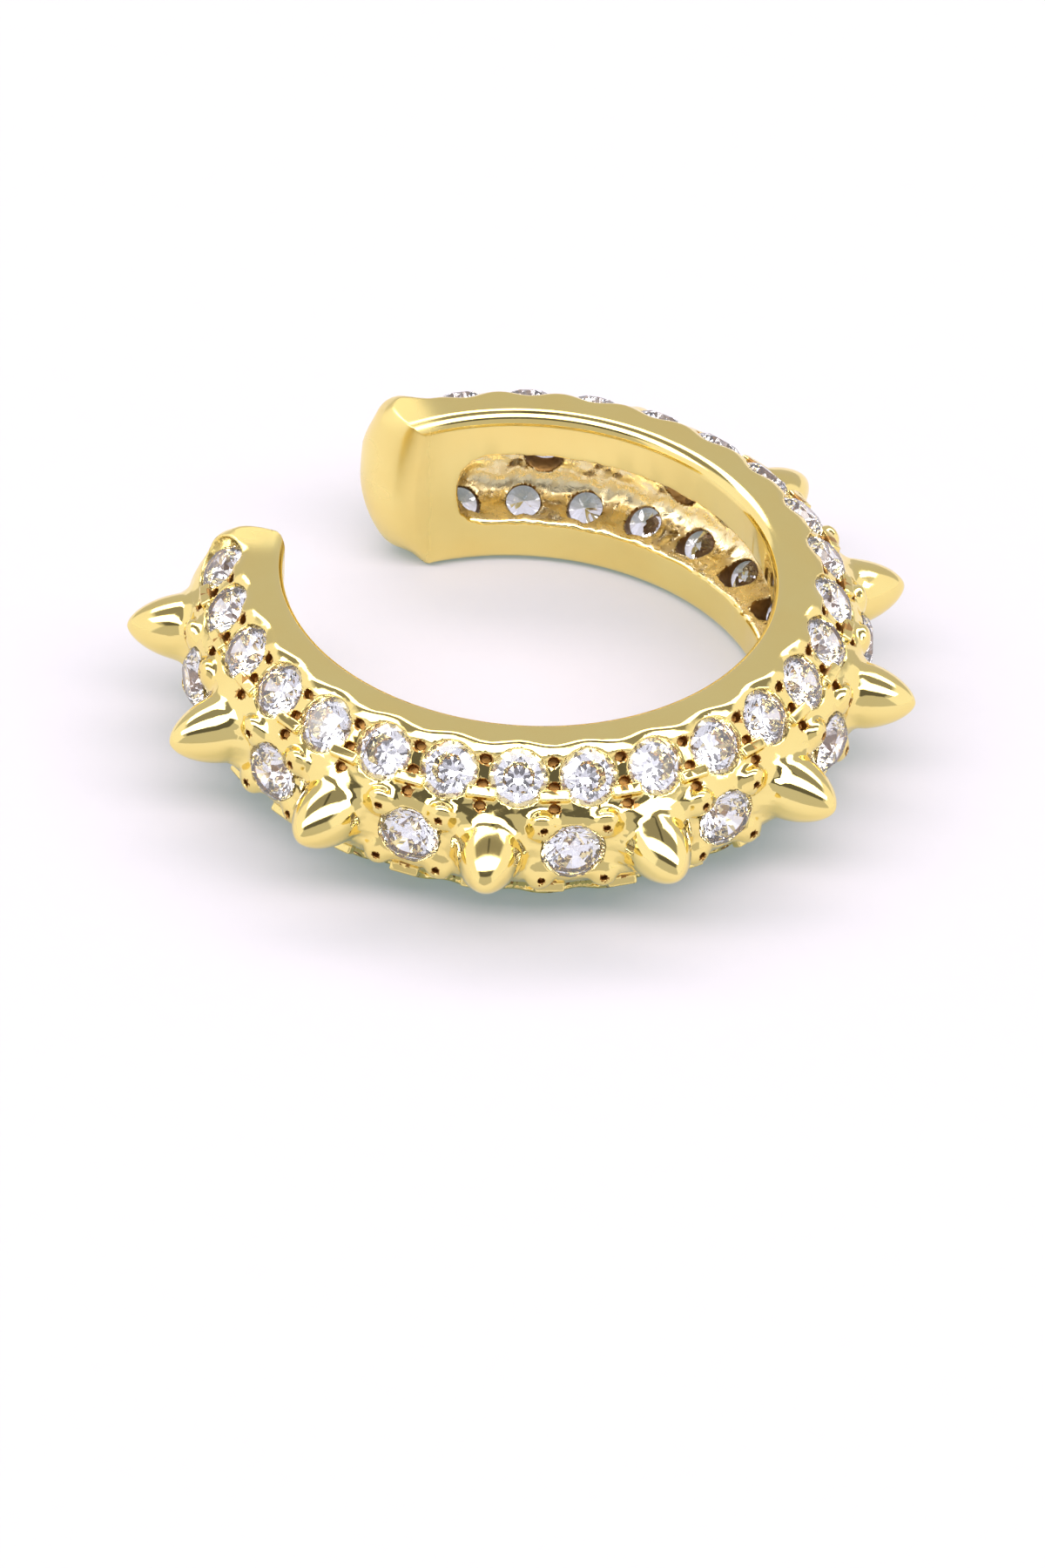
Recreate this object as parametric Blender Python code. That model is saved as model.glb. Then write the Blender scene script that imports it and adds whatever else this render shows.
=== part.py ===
"""Open ear cuff set with three rows of round stones and a row of spikes.

The cuff lies on its side: the ring axis is +Z and the flat side face rests on
Z = 0. Spikes and centre stones take turns along the outer face, and a row of
smaller stones runs along each sloped shoulder. The band is hollowed from the
inside by a channel, and a round hole behind every stone opens into it. The
opening of the C faces -X. Units are metres.
"""

import math

import bmesh
import bpy
from mathutils import Matrix, Vector

MM = 0.001

# Band, as its cross-section: inner wall, flat side faces, sloped shoulders and an upright
# outer face that stands out a little between them.
INNER_RADIUS = 4.75 * MM
BAND_HEIGHT = 3.6 * MM
FLAT_WIDTH = 0.78 * MM
SHOULDER_RUN = 0.87 * MM
SHOULDER_DROP = 0.92 * MM
BELLY_RISE = 0.15 * MM
BELLY_SLOPE = 0.20 * MM
INNER_EDGE_RADIUS = 0.15 * MM

# Opening of the C between the inner corners, and the domed ends beside it.
OPENING_WIDTH = 4.4 * MM
END_BULGE = 0.50 * MM
END_FULLNESS = 2.2

# Channel that hollows the band from the inside.
CHANNEL_HEIGHT = 1.7 * MM
OUTER_WALL = 0.70 * MM
SHOULDER_WALL = 0.68 * MM
CHANNEL_LIP = 0.06 * MM

# Round stones: the shoulder rows and the larger ones of the centre row.
SHOULDER_STONES = 23
SHOULDER_STONE = 1.12 * MM
CENTRE_STONE = 1.25 * MM
STONE_SIDES = 8
TABLE_SHARE = 0.57
CROWN_SHARE = 0.16
GIRDLE_SHARE = 0.04
PAVILION_SHARE = 0.43

# Seats: how a girdle sits to the metal, the room around a stone and the hole behind it.
SHOULDER_GIRDLE_DEPTH = 0.08 * MM
CENTRE_GIRDLE_DEPTH = 0.02 * MM
SEAT_CLEARANCE = 0.04 * MM
SHOULDER_HOLE = 0.68 * MM
CENTRE_HOLE = 0.80 * MM
SHOULDER_HOLE_PAST = 0.42 * MM
CENTRE_HOLE_PAST = 0.12 * MM

# Distance along the band from its ends to the last stones and spikes, as a mean of both ends,
# and how far all the rows sit towards the end at +Y or, below zero, at -Y.
STONE_END_MARGIN = 1.01 * MM
SPIKE_END_MARGIN = 1.40 * MM
ROW_SHIFT = -0.48 * MM

# Spikes, with one centre stone between each two.
SPIKES = 11
SPIKE_BASE = 1.45 * MM
SPIKE_HEIGHT = 1.18 * MM
SPIKE_ROOT = 0.15 * MM
SPIKE_FULLNESS = 1.75

# Prongs: wedges in the corners between shoulder stones, round ones about the centre stones.
WEDGE_DEPTH = 0.27 * MM
WEDGE_INSET = 0.12 * MM
ROUND_PRONG = 0.26 * MM
PRONG_SPACE = 0.02 * MM
PRONG_RISE = 0.12 * MM
PRONG_ROOT = 0.10 * MM
PRONG_TAPER_SHARE = 0.7

# How finely the round forms are cut into faces.
STEPS_PER_STONE = 2
EDGE_STEPS = 2
DOME_STEPS = 5
SPIKE_SIDES = 10
SPIKE_RINGS = 4
ROUND_PRONG_SIDES = 6

# How far a cutter runs past the face that it cuts.
CUT_PAST = 0.5 * MM

MIDDLE = BAND_HEIGHT / 2
FLAT_RADIUS = INNER_RADIUS + FLAT_WIDTH
SHOULDER_END_RADIUS = FLAT_RADIUS + SHOULDER_RUN
OUTER_RADIUS = SHOULDER_END_RADIUS + BELLY_RISE
SLOPE_LENGTH = math.hypot(SHOULDER_RUN, SHOULDER_DROP)
SHOULDER_TILT = math.atan2(SHOULDER_DROP, SHOULDER_RUN)
SHOULDER_RADIUS = FLAT_RADIUS + SHOULDER_RUN / 2
SHOULDER_HEIGHT = BAND_HEIGHT - SHOULDER_DROP / 2

END_ANGLE = math.pi - math.asin(OPENING_WIDTH / 2 / INNER_RADIUS)
STONE_REACH = END_ANGLE - STONE_END_MARGIN / SHOULDER_RADIUS
SPIKE_REACH = END_ANGLE - SPIKE_END_MARGIN / OUTER_RADIUS


def even_angles(count, reach):
    """Angles of a row, spread evenly over the reach to both sides of its middle."""
    start = ROW_SHIFT / OUTER_RADIUS - reach
    return [start + 2 * reach * i / (count - 1) for i in range(count)]


def halfway(angles):
    """The angle halfway between each neighbouring pair."""
    return [(a + b) / 2 for a, b in zip(angles, angles[1:])]


STONE_ANGLES = even_angles(SHOULDER_STONES, STONE_REACH)
STONE_PITCH = STONE_ANGLES[1] - STONE_ANGLES[0]
WEDGE_ANGLES = halfway([STONE_ANGLES[0] - STONE_PITCH] + STONE_ANGLES + [STONE_ANGLES[-1] + STONE_PITCH])
SPIKE_ANGLES = even_angles(SPIKES, SPIKE_REACH)
CENTRE_ANGLES = halfway(SPIKE_ANGLES)
CHANNEL_MARGIN = (SHOULDER_HOLE / 2 - CHANNEL_LIP) / INNER_RADIUS


def clear_scene():
    """Remove every object of the scene."""
    for obj in list(bpy.data.objects):
        bpy.data.objects.remove(obj)


def make_material(name, colour, roughness, metallic):
    """A Principled material of one colour."""
    material = bpy.data.materials.new(name)
    material.use_nodes = True
    shader = material.node_tree.nodes["Principled BSDF"]
    shader.inputs["Base Color"].default_value = (*colour, 1.0)
    shader.inputs["Roughness"].default_value = roughness
    shader.inputs["Metallic"].default_value = metallic
    return material


def make_object(name, bm, material=None):
    """Turn a bmesh into a scene object with outward faces."""
    bmesh.ops.recalc_face_normals(bm, faces=bm.faces)
    mesh = bpy.data.meshes.new(name)
    bm.to_mesh(mesh)
    bm.free()
    if material:
        mesh.materials.append(material)
    obj = bpy.data.objects.new(name, mesh)
    bpy.context.collection.objects.link(obj)
    return obj


def mark_as_tool(obj):
    """Show a cutter or a joined-on shape as wires and keep it out of the model."""
    obj.hide_render = True
    obj.display_type = "WIRE"
    return obj


def add_boolean(obj, operation, tool):
    """Cut a tool from an object or join it on."""
    modifier = obj.modifiers.new(f"{operation.lower()} {tool.name}", "BOOLEAN")
    modifier.operation = operation
    modifier.solver = "EXACT"
    modifier.object = tool


def skin_rings(bm, rings):
    """Join closed rings of vertices, one after the other, and close both ends.

    The first ring may be a single vertex, as at the point of a stone.
    """
    for ring, following in zip(rings, rings[1:]):
        count = len(following)
        for i in range(count):
            j = (i + 1) % count
            low = (ring[0],) if len(ring) == 1 else (ring[i], ring[j])
            bm.faces.new((*low, following[j], following[i]))
    if len(rings[0]) > 1:
        bm.faces.new(rings[0])
    bm.faces.new(reversed(rings[-1]))


def sweep(sections):
    """Skin a row of (angle, outline) sections, each outline as (radius, height) pairs."""
    bm = bmesh.new()
    rings = []
    for angle, outline in sections:
        c, s = math.cos(angle), math.sin(angle)
        rings.append([bm.verts.new((r * c, r * s, z)) for r, z in outline])
    skin_rings(bm, rings)
    return bm


def moved(place, x, y, z):
    """A point given in a place's own directions."""
    return place @ Vector((x, y, z))


def add_turned(bm, place, outline, sides):
    """Turn an outline of (radius, height) pairs about the local Z axis of a place.

    The first pair may have no radius and is then a point.
    """
    turns = [math.pi / sides + 2 * math.pi * i / sides for i in range(sides)]
    rings = []
    for radius, height in outline:
        around = turns if radius > 0 else turns[:1]
        rings.append([bm.verts.new(moved(place, radius * math.cos(a), radius * math.sin(a), height))
                      for a in around])
    skin_rings(bm, rings)


def add_taper(bm, place, corners, low, high):
    """Add a post over a flat outline of (x, y) corners, drawn in towards its top."""
    middle_x = sum(x for x, y in corners) / len(corners)
    middle_y = sum(y for x, y in corners) / len(corners)
    rings = []
    for share, height in ((1, low), (PRONG_TAPER_SHARE, high)):
        rings.append([bm.verts.new(moved(place, middle_x + (x - middle_x) * share,
                                         middle_y + (y - middle_y) * share, height))
                      for x, y in corners])
    skin_rings(bm, rings)


def spot(angle, radius, height, tilt):
    """A place on the band whose local Z leans by the tilt from +Z towards the outside."""
    return (Matrix.Rotation(angle, 4, "Z")
            @ Matrix.Translation((radius, 0, height))
            @ Matrix.Rotation(tilt, 4, "Y"))


def upper_spot(angle):
    """A place on the middle of the upper shoulder, its local X towards the outer face."""
    return spot(angle, SHOULDER_RADIUS, SHOULDER_HEIGHT, SHOULDER_TILT)


def lower_spot(angle):
    """A place on the middle of the lower shoulder, its local X towards the outer face."""
    return (spot(angle, SHOULDER_RADIUS, BAND_HEIGHT - SHOULDER_HEIGHT, math.pi - SHOULDER_TILT)
            @ Matrix.Rotation(math.pi, 4, "Z"))


def centre_spot(angle):
    """A place on the middle of the outer face."""
    return spot(angle, OUTER_RADIUS, MIDDLE, math.pi / 2)


def sunk(place, depth):
    """The same place, moved inwards along its own Z axis."""
    return place @ Matrix.Translation((0, 0, -depth))


def band_outline():
    """Cross-section of the solid band."""
    upper = []
    for i in range(EDGE_STEPS + 1):
        a = math.pi / 2 * i / EDGE_STEPS
        upper.append((INNER_RADIUS + INNER_EDGE_RADIUS * (1 - math.cos(a)),
                      BAND_HEIGHT - INNER_EDGE_RADIUS * (1 - math.sin(a))))
    upper += [(FLAT_RADIUS, BAND_HEIGHT), (SHOULDER_END_RADIUS, BAND_HEIGHT - SHOULDER_DROP),
              (OUTER_RADIUS, BAND_HEIGHT - SHOULDER_DROP - BELLY_SLOPE)]
    lower = [(r, BAND_HEIGHT - z) for r, z in reversed(upper)]
    return upper + lower


def shrunk(outline, share):
    """The outline drawn in towards the middle of the band's section."""
    middle_radius = (INNER_RADIUS + OUTER_RADIUS) / 2
    return [(middle_radius + (r - middle_radius) * share, MIDDLE + (z - MIDDLE) * share)
            for r, z in outline]


def make_band(gold):
    """The solid C with domed ends, before the channel and the seats are cut."""
    outline = band_outline()
    steps = STEPS_PER_STONE * (len(STONE_ANGLES) + 1)
    body = [(-END_ANGLE + 2 * END_ANGLE * i / steps, outline) for i in range(steps + 1)]
    dome = []
    for i in range(1, DOME_STEPS + 1):
        reach = math.sin(math.pi / 2 * i / (DOME_STEPS + 0.5))
        share = (1 - reach ** END_FULLNESS) ** (1 / END_FULLNESS)
        dome.append((END_ANGLE + END_BULGE * reach / SHOULDER_RADIUS, shrunk(outline, share)))
    start = [(-angle, section) for angle, section in reversed(dome)]
    return make_object("cuff_band", sweep(start + body + dome), gold)


def make_channel_cutter():
    """The hollow along the inside, which follows the outer wall and the shoulders."""
    half = CHANNEL_HEIGHT / 2
    floor_radius = OUTER_RADIUS - OUTER_WALL
    slope = SHOULDER_DROP / SHOULDER_RUN
    drop = SHOULDER_WALL * SLOPE_LENGTH / SHOULDER_RUN
    bend_radius = FLAT_RADIUS + (BAND_HEIGHT - drop - MIDDLE - half) / slope
    floor_half = BAND_HEIGHT - drop - (floor_radius - FLAT_RADIUS) * slope - MIDDLE
    upper = [(INNER_RADIUS - CUT_PAST, MIDDLE + half), (bend_radius, MIDDLE + half),
             (floor_radius, MIDDLE + floor_half)]
    outline = upper + [(r, BAND_HEIGHT - z) for r, z in reversed(upper)]
    steps = STEPS_PER_STONE * len(STONE_ANGLES)
    start = STONE_ANGLES[0] - CHANNEL_MARGIN
    length = STONE_ANGLES[-1] + CHANNEL_MARGIN - start
    sections = [(start + length * i / steps, outline) for i in range(steps + 1)]
    return mark_as_tool(make_object("channel_cutter", sweep(sections)))


def stone_outline(diameter):
    """Half section of a round stone about its girdle, from the culet to the table."""
    girdle = diameter * GIRDLE_SHARE / 2
    return [(0, -girdle - diameter * PAVILION_SHARE),
            (diameter / 2, -girdle),
            (diameter / 2, girdle),
            (diameter * TABLE_SHARE / 2, girdle + diameter * CROWN_SHARE)]


def add_seat(bm, place, diameter, hole, depth):
    """A seat open to the outside, with a bearing cone and the hole behind the stone."""
    room = SEAT_CLEARANCE
    rim = diameter / 2 + room
    bearing = -diameter * GIRDLE_SHARE / 2 - room
    slope = diameter * PAVILION_SHARE / (diameter / 2)
    outline = [(hole / 2, -depth), (hole / 2, bearing - (rim - hole / 2) * slope), (rim, bearing),
               (rim, CUT_PAST)]
    add_turned(bm, place, outline, STONE_SIDES)


def make_seat_cutter():
    """Seats of the upper and the centre row, and the holes behind the lower row."""
    bm = bmesh.new()
    through = SHOULDER_WALL + SHOULDER_HOLE_PAST
    for angle in STONE_ANGLES:
        add_seat(bm, sunk(upper_spot(angle), SHOULDER_GIRDLE_DEPTH), SHOULDER_STONE, SHOULDER_HOLE, through)
        hole = [(SHOULDER_HOLE / 2, -through), (SHOULDER_HOLE / 2, -SHOULDER_STONE * GIRDLE_SHARE)]
        add_turned(bm, sunk(lower_spot(angle), SHOULDER_GIRDLE_DEPTH), hole, STONE_SIDES)
    for angle in CENTRE_ANGLES:
        add_seat(bm, sunk(centre_spot(angle), CENTRE_GIRDLE_DEPTH), CENTRE_STONE, CENTRE_HOLE,
                 OUTER_WALL + CENTRE_HOLE_PAST)
    return mark_as_tool(make_object("seat_cutter", bm))


def wedge_corners(side):
    """Outline of a wedge in the corner between two seats and the shoulder's edge.

    The side is 1 for the corner nearer to the outer face and -1 for the one nearer
    to the flat face.
    """
    rim = SHOULDER_STONE / 2 + SEAT_CLEARANCE
    outer = SLOPE_LENGTH / 2 - WEDGE_INSET
    chord = math.sqrt(rim ** 2 - min(outer, rim) ** 2)
    radius = SHOULDER_RADIUS + side * outer * math.cos(SHOULDER_TILT)
    half = STONE_PITCH * radius / 2 - chord - PRONG_SPACE
    return [(side * outer, -half), (side * outer, half), (side * (outer - WEDGE_DEPTH), 0)]


def make_prongs():
    """Wedges between neighbouring shoulder stones and four round prongs about each centre stone."""
    bm = bmesh.new()
    for angle in WEDGE_ANGLES:
        for place in (upper_spot(angle), lower_spot(angle)):
            for side in (-1, 1):
                add_taper(bm, place, wedge_corners(side), -PRONG_ROOT, PRONG_RISE)
    away = CENTRE_STONE / 2 + SEAT_CLEARANCE + PRONG_SPACE + ROUND_PRONG / 2
    steps = [2 * math.pi * i / ROUND_PRONG_SIDES for i in range(ROUND_PRONG_SIDES)]
    outline = [(ROUND_PRONG / 2 * math.cos(a), ROUND_PRONG / 2 * math.sin(a)) for a in steps]
    for angle in CENTRE_ANGLES:
        for quarter in range(4):
            turn = Matrix.Rotation(math.pi / 4 + math.pi / 2 * quarter, 4, "Z")
            add_taper(bm, centre_spot(angle) @ turn @ Matrix.Translation((away, 0, 0)), outline,
                      -PRONG_ROOT, PRONG_RISE)
    return mark_as_tool(make_object("prongs", bm))


def spike_outline():
    """Half section of a bullet-shaped spike, from its root to its round tip."""
    outline = [(SPIKE_BASE / 2, -SPIKE_ROOT)]
    for i in range(SPIKE_RINGS + 1):
        height = math.sin(math.pi / 2 * i / (SPIKE_RINGS + 0.3))
        radius = (1 - height ** SPIKE_FULLNESS) ** (1 / SPIKE_FULLNESS)
        outline.append((SPIKE_BASE / 2 * radius, SPIKE_HEIGHT * height))
    return outline


def make_spikes():
    """The row of spikes on the outer face."""
    bm = bmesh.new()
    for angle in SPIKE_ANGLES:
        add_turned(bm, centre_spot(angle), spike_outline(), SPIKE_SIDES)
    return mark_as_tool(make_object("spikes", bm))


def make_lower_stones():
    """The lower row of stones, which is joined to its setting."""
    bm = bmesh.new()
    for angle in STONE_ANGLES:
        place = sunk(lower_spot(angle), SHOULDER_GIRDLE_DEPTH)
        add_turned(bm, place, stone_outline(SHOULDER_STONE), STONE_SIDES)
    return mark_as_tool(make_object("lower_stones", bm))


def make_stones(prefix, places, diameter, crystal):
    """One object for each place, all sharing the mesh of one stone."""
    bm = bmesh.new()
    add_turned(bm, Matrix.Identity(4), stone_outline(diameter), STONE_SIDES)
    first = make_object(f"{prefix}_01", bm, crystal)
    stones = [first]
    for i in range(1, len(places)):
        stone = bpy.data.objects.new(f"{prefix}_{i + 1:02d}", first.data)
        bpy.context.collection.objects.link(stone)
        stones.append(stone)
    for stone, place in zip(stones, places):
        stone.matrix_local = place
    return stones


def main():
    """Build the cuff and centre it over the origin."""
    clear_scene()
    gold = make_material("gold plated brass", (0.80, 0.55, 0.16), 0.18, 1.0)
    crystal = make_material("clear crystal", (0.86, 0.88, 0.92), 0.03, 0.0)

    band = make_band(gold)
    channel = make_channel_cutter()
    seats = make_seat_cutter()
    prongs = make_prongs()
    spikes = make_spikes()
    lower_stones = make_lower_stones()
    add_boolean(band, "DIFFERENCE", channel)
    add_boolean(band, "DIFFERENCE", seats)
    add_boolean(band, "UNION", spikes)
    add_boolean(band, "UNION", prongs)
    add_boolean(band, "UNION", lower_stones)

    upper = make_stones("upper_stone", [sunk(upper_spot(a), SHOULDER_GIRDLE_DEPTH) for a in STONE_ANGLES],
                        SHOULDER_STONE, crystal)
    centre = make_stones("centre_stone", [sunk(centre_spot(a), CENTRE_GIRDLE_DEPTH) for a in CENTRE_ANGLES],
                         CENTRE_STONE, crystal)

    ring_axis = bpy.data.objects.new("ring_axis", None)
    bpy.context.collection.objects.link(ring_axis)
    for obj in [band, channel, seats, prongs, spikes, lower_stones] + upper + centre:
        obj.parent = ring_axis
    parts = (band, spikes)
    lowest = min(v.co.x for obj in parts for v in obj.data.vertices)
    highest = max(v.co.x for obj in parts for v in obj.data.vertices)
    ring_axis.location.x = -(lowest + highest) / 2


main()
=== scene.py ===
"""Looks of the open ear cuff: one soft-edged gold plated casting set with brilliant cut stones.

The metal is worked out as a distance field in millimetres about the ring axis, so that every
seat, prong and spike runs into the band with the soft fillets of a casting. The field is then
skinned into one closed mesh. The stones take their places from the CAD nodes.
"""
import logging
import math
from dataclasses import dataclass, field
from enum import Enum

import bpy
import numpy as np
from mathutils import Matrix, Vector


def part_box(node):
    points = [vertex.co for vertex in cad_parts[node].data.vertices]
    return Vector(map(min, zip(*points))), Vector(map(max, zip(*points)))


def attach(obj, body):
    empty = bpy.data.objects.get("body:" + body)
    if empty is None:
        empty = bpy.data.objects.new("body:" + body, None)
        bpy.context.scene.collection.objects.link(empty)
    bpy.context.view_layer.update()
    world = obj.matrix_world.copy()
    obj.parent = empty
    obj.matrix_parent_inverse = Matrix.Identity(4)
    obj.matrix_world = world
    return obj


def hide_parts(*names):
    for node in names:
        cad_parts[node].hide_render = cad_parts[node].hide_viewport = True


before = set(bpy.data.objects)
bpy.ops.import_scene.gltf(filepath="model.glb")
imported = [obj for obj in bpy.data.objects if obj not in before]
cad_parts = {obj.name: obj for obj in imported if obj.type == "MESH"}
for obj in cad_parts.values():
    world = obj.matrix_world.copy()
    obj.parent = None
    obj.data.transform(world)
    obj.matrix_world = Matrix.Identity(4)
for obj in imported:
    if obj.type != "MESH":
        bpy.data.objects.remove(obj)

Array = np.ndarray
Material = bpy.types.Material
Mesh = bpy.types.Mesh
Socket = bpy.types.NodeSocket
Tree = bpy.types.NodeTree
Triple = tuple[float, float, float]

LOG = logging.getLogger("ear_cuff")
MM = 0.001
TINY = 1e-9
FAR = 1.0
BATCH = 400_000
BODY = "root"
OVERHEAD = (0.0, 0.0, 1.0)


class Row(Enum):
    """The three rows of stones, each with the word that its pieces are named with."""

    UPPER = "upper"
    CENTRE = "centre"
    LOWER = "lower"


def linear(code: str) -> tuple[float, float, float, float]:
    """Turn an sRGB hex value into the linear colour that a shader takes.

    Args:
        code: six hex digits.

    Returns:
        Red, green, blue and a full alpha.
    """
    shares = [int(code[i:i + 2], 16) / 255 for i in (0, 2, 4)]
    red, green, blue = (s / 12.92 if s <= 0.04045 else ((s + 0.055) / 1.055) ** 2.4 for s in shares)
    return red, green, blue, 1.0


def add_node(tree: Tree, kind: str, settings: dict | None = None,
             inputs: dict | None = None) -> bpy.types.Node:
    """Add one node, with its settings, values and links.

    Args:
        tree: the node tree that it goes into.
        kind: the node's type name.
        settings: its own properties by name.
        inputs: for each input, by name or place, a value or the output socket that feeds it.

    Returns:
        The new node.
    """
    node = tree.nodes.new(kind)
    for name, value in (settings or {}).items():
        setattr(node, name, value)
    for name, value in (inputs or {}).items():
        if isinstance(value, Socket):
            tree.links.new(value, node.inputs[name])
        else:
            node.inputs[name].default_value = value
    return node


def per_metre(size_mm: float) -> float:
    """Noise scale for features of a size in millimetres, on coordinates in metres."""
    return 1 / (size_mm * MM)


def new_piece(name: str, mesh: Mesh, materials: list[Material]) -> bpy.types.Object:
    """Put a mesh into the scene.

    Args:
        name: the piece's name.
        mesh: its mesh.
        materials: its finishes, in the order of their slots.

    Returns:
        The piece.
    """
    for material in materials:
        mesh.materials.append(material)
    piece = bpy.data.objects.new(name, mesh)
    bpy.context.scene.collection.objects.link(piece)
    return piece


@dataclass(frozen=True)
class Finish:
    """A finish whose colour and roughness wander together in patches of a real size.

    The low values are for the noise at the start of its span, the high ones for its end.
    """

    name: str = "finish"
    low_colour: str = "FFFFFF"
    high_colour: str = "FFFFFF"
    low_rough: float = 0.5
    high_rough: float = 0.5
    patch_mm: float = 1.0
    detail: float = 2.0
    fineness: float = 0.5
    span: tuple[float, float] = (0.0, 1.0)

    def settings(self) -> dict:
        """The shader's values that are the same all over, here those of a bare metal."""
        return {"Metallic": 1.0}

    def worn(self, tree: Tree, where: Socket, rough: Socket) -> Socket:
        """Roughness after wear, here none."""
        return rough

    def relief(self, tree: Tree, where: Socket, patches: Socket) -> Socket | None:
        """Normal of the finish's fine relief, here none."""
        return None

    def make(self) -> Material:
        """Build the material.

        Returns:
            The material.
        """
        material = bpy.data.materials.new(self.name)
        material.use_nodes = True
        tree = material.node_tree
        shader = tree.nodes["Principled BSDF"].inputs
        where = add_node(tree, "ShaderNodeTexCoord").outputs["Object"]
        patches = add_node(tree, "ShaderNodeTexNoise", {}, {
            "Vector": where, "Scale": per_metre(self.patch_mm), "Detail": self.detail,
            "Roughness": self.fineness}).outputs[0]
        colour = add_node(tree, "ShaderNodeMix", {"data_type": "RGBA"}, {
            0: patches, 6: linear(self.low_colour), 7: linear(self.high_colour)}).outputs[2]
        tree.links.new(colour, shader["Base Color"])
        shader["Roughness"].default_value = self.low_rough
        if self.high_rough != self.low_rough:
            rough = add_node(tree, "ShaderNodeMapRange", {}, {
                "Value": patches, "From Min": self.span[0], "From Max": self.span[1],
                "To Min": self.low_rough, "To Max": self.high_rough}).outputs[0]
            tree.links.new(self.worn(tree, where, rough), shader["Roughness"])
        normal = self.relief(tree, where, patches)
        if normal:
            tree.links.new(normal, shader["Normal"])
        for name, value in self.settings().items():
            shader[name].default_value = value
        return material


@dataclass(frozen=True)
class TumbledGold(Finish):
    """Gold plate over brass, cast, tumbled and flash plated.

    The plate is thin and bright, so it mirrors the studio. Tumbling leaves it a little wavy
    instead of flat, which breaks the edges of its highlights. Its pits of about 0.01 mm are
    too fine to show, so they are drawn at pit_mm.
    """

    name: str = "gold_plate_tumbled"
    low_colour: str = "F8E79A"
    high_colour: str = "F0D480"
    low_rough: float = 0.05
    high_rough: float = 0.11
    patch_mm: float = 1.6
    detail: float = 3.0
    span: tuple[float, float] = (0.35, 0.65)
    wave_mm: float = 0.55
    wave_height_mm: float = 0.0018
    pit_mm: float = 0.06
    pit_height_mm: float = 0.0004
    end_satin: float = 0.20
    end_from: float = math.radians(26)
    end_to: float = math.radians(33)

    def worn(self, tree: Tree, where: Socket, rough: Socket) -> Socket:
        """Add the roughness of the two ends, which handling rubs satin.

        Args:
            tree: the material's node tree.
            where: the place on the metal, with the opening towards -X.
            rough: the roughness without it.

        Returns:
            The socket with the roughness.
        """
        parts = add_node(tree, "ShaderNodeSeparateXYZ", {}, {0: where})
        aside = add_node(tree, "ShaderNodeMath", {"operation": "ABSOLUTE"}, {0: parts.outputs[1]})
        ahead = add_node(tree, "ShaderNodeMath", {"operation": "MULTIPLY"}, {0: parts.outputs[0], 1: -1.0})
        angle = add_node(tree, "ShaderNodeMath", {"operation": "ARCTAN2"}, {
            0: aside.outputs[0], 1: ahead.outputs[0]})
        rubbed = add_node(tree, "ShaderNodeMapRange", {"interpolation_type": "SMOOTHSTEP"}, {
            "Value": angle.outputs[0], "From Min": self.end_from, "From Max": self.end_to,
            "To Min": self.end_satin, "To Max": 0.0})
        return add_node(tree, "ShaderNodeMath", {"operation": "ADD"}, {
            0: rough, 1: rubbed.outputs[0]}).outputs[0]

    def relief(self, tree: Tree, where: Socket, patches: Socket) -> Socket:
        """Draw the waves that tumbling leaves, and the pits on them.

        Args:
            tree: the material's node tree.
            where: the place on the metal.
            patches: the noise of the colour, not used here.

        Returns:
            The socket with the normal.
        """
        normal = None
        for size, height, detail in ((self.wave_mm, self.wave_height_mm, 1.0),
                                     (self.pit_mm, self.pit_height_mm, 2.0)):
            noise = add_node(tree, "ShaderNodeTexNoise", {}, {
                "Vector": where, "Scale": per_metre(size), "Detail": detail}).outputs[0]
            under = {"Normal": normal} if normal else {}
            normal = add_node(tree, "ShaderNodeBump", {}, {
                "Height": noise, "Distance": height * MM, "Strength": 1.0} | under).outputs[0]
        return normal


@dataclass(frozen=True)
class AsCastGold(Finish):
    """The same plate over metal that no tumbling medium reached, inside the channel.

    The grain of the casting mould stays under the plate, so it glitters in small spots
    instead of mirroring. The mould's grit of about 0.05 mm is too fine to show, so it is
    drawn at patch_mm.
    """

    name: str = "gold_plate_as_cast"
    low_colour: str = "F8DF9E"
    high_colour: str = "FFF5CC"
    low_rough: float = 0.36
    high_rough: float = 0.16
    patch_mm: float = 0.16
    detail: float = 3.0
    fineness: float = 0.6
    span: tuple[float, float] = (0.35, 0.65)
    grain_height_mm: float = 0.014

    def relief(self, tree: Tree, where: Socket, patches: Socket) -> Socket:
        """Draw the mould's grain, which is the noise of the colour too."""
        return add_node(tree, "ShaderNodeBump", {}, {
            "Height": patches, "Distance": self.grain_height_mm * MM, "Strength": 1.0}).outputs[0]


@dataclass(frozen=True)
class ShadedRecessGold(Finish):
    """Painted shade at the bottom of small holes: a brown, dull gold laid on their faces.

    Its brown stands for the shade that falls in them, so the holes read as dark spots between the bright
    prongs.
    """

    name: str = "painted_shade_in_recess"
    # Painted shade: brown colours that darken the holes and pits.
    low_colour: str = "7C5524"
    high_colour: str = "C4995A"
    low_rough: float = 0.55
    high_rough: float = 0.35
    patch_mm: float = 0.12


@dataclass(frozen=True)
class Zirconia(Finish):
    """Cubic zirconia, cut and polished: clear, with strong sparkle from its high index."""

    name: str = "cubic_zirconia_polished"
    low_colour: str = "FFFFFF"
    high_colour: str = "F4F6FC"
    low_rough: float = 0.0
    high_rough: float = 0.03
    patch_mm: float = 0.4
    detail: float = 1.0
    index: float = 2.15
    clearness: float = 0.97

    def settings(self) -> dict:
        """The stone's index and how much light goes into it."""
        return {"Transmission Weight": self.clearness, "IOR": self.index}


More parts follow.
